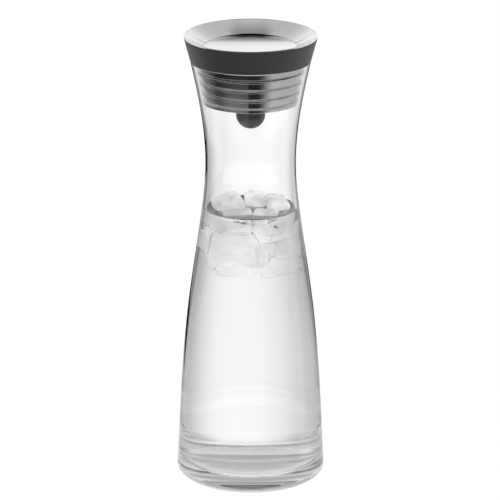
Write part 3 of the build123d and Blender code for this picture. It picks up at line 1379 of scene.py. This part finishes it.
    def mirrored_room(self, graph: Graph, side: Wire, ahead: Wire, height: Wire) -> Wire:
        """What the steel mirrors above the horizon: a white room behind, a dark card in it, a soft roof.

        Args:
            graph: Node tree of the world.
            side: Part of the direction along X.
            ahead: Part of the direction along Y.
            height: Degrees above the horizon.

        Returns:
            The light's level.
        """
        in_line = graph.level(
            height + side.maths("ABSOLUTE") * self.card_taper,
            [
                (0, 1.05),
                (14, 1.05),
                (17.2, 0.95),
                (17.8, 0.72),
                (18.3, 0.44),
                (18.9, 0.34),
                (20.4, 0.22),
                (20.8, 0.09),
                (21.3, 0.0),
                (40, 0.0),
                (50, 0.1),
                (58, 0.26),
                (68, 0.36),
                (75, 0.46),
                (82, 0.6),
                (90, 0.7),
            ],
        )
        to_side = graph.level(
            height,
            [(0, 1.0), (20, 1.0), (27, 0.88), (33, 0.74), (45, 0.6), (57, 0.56), (66, 0.6), (90, 0.7)],
        )
        reach = graph.level(height, [(0, 0.34), (20.2, 0.34), (20.9, 0.12), (50, 0.12), (58, 0.3), (90, 0.34)])
        beside = (side.maths("ABSOLUTE") / reach).between(0.35, 1.0)
        room = graph.mixed(beside, in_line, to_side)
        dark_front = ahead.between(-0.04, -0.15) * 0.95
        return room * (1 - dark_front)

    def mirrored_in_glass(self, graph: Graph, height: Wire) -> Wire:
        """Light from above the horizon that the heavy base turns towards the front."""
        return graph.level(
            height, [(0, 0.9), (12, 0.9), (16, 0.66), (19, 0.5), (23, 0.48), (27, 0.75), (35, 0.85), (90, 0.9)]
        )

    def surroundings(self) -> None:
        """Sets the world: white to the camera, even for matt surfaces, a shaded room in glass and steel."""
        world = bpy.data.worlds.new("studio")
        world.use_nodes = True
        world.cycles.sampling_method = "NONE"
        bpy.context.scene.world = world
        graph = Graph(world.node_tree)
        path = graph.node("ShaderNodeLightPath")
        x, y, z = graph.split(graph.node("ShaderNodeTexCoord")["Generated"])
        height = z.maths("ARCSINE") * (180 / math.pi)
        aside = x.maths("ARCTAN2", y) * (180 / math.pi)
        above = z.between(-0.01, 0.01)
        around = (aside * (math.pi / 360)).maths("SINE").maths("ABSOLUTE").maths("MAXIMUM", 0.05)
        passed = path["Transmission Depth"]
        below = self.mirrored_floor(graph, aside, height, (z + 0.237) / around, passed)
        mirrored = graph.mixed(above, below, self.mirrored_room(graph, x, y, height))
        through_glass = passed.maths("GREATER_THAN", 0.5)
        mirrored = graph.mixed(through_glass * above, mirrored, self.mirrored_in_glass(graph, height))
        bounced = path["Glossy Depth"].maths("GREATER_THAN", 0.5)
        scattered = path["Diffuse Depth"].maths("GREATER_THAN", 0.5)
        seen = graph.mixed(bounced, self.behind_glass(graph, aside, height), mirrored)
        clear = path["Is Glossy Ray"].maths("MAXIMUM", path["Is Transmission Ray"])
        seen = graph.mixed(scattered, seen, self.matt_light)
        level = graph.mixed(clear, 0.7, seen)
        level = graph.mixed(path["Is Camera Ray"], level, 1.0)
        light = graph.node("ShaderNodeBackground", {"Color": level})["Background"]
        graph.node("ShaderNodeOutputWorld", {"Surface": light})

    def lamp(self, name: str, place: Sequence[float], size: float, power: float) -> None:
        """Adds a soft square lamp that faces the carafe.

        Args:
            name: The lamp's name.
            place: Where it hangs.
            size: Length of its side.
            power: Its power in watts.
        """
        aim = Vector((0, 0, self.aim_height)) - Vector(place)
        turn = aim.to_track_quat("-Z", "Y").to_euler()
        bpy.ops.object.light_add(type="AREA", location=place, rotation=turn)
        lamp = bpy.context.active_object
        lamp.name = name
        lamp.data.size = size
        lamp.data.energy = power
        lamp.visible_camera = False
        lamp.visible_transmission = False
        lamp.visible_glossy = False

    def build(self) -> None:
        """Sets up the whole studio."""
        bpy.context.scene.view_settings.view_transform = "Standard"
        self.camera()
        self.floor()
        self.surroundings()
        self.lamp("key", (0.95, -0.75, 0.95), 0.5, 9.0)


def main() -> None:
    """Builds the studio and every piece in order."""
    logging.basicConfig(level=logging.INFO, format="%(name)s: %(message)s")
    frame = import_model()
    nodes = frame["nodes"]
    glass = GlassBody(CadNode(nodes["glass_body"]))
    glass.build()
    Stopper(
        glass,
        CadNode(nodes["neck_seal"]),
        CadNode(nodes["stopper_core"]),
        CadNode(nodes["pouring_collar"]),
        nodes["guide_spider"],
    ).build()
    TippingLid(CadNode(nodes["steel_dish"]), nodes).build()
    Contents(glass).build()
    Studio().build()


if __name__ == "__main__":
    main()
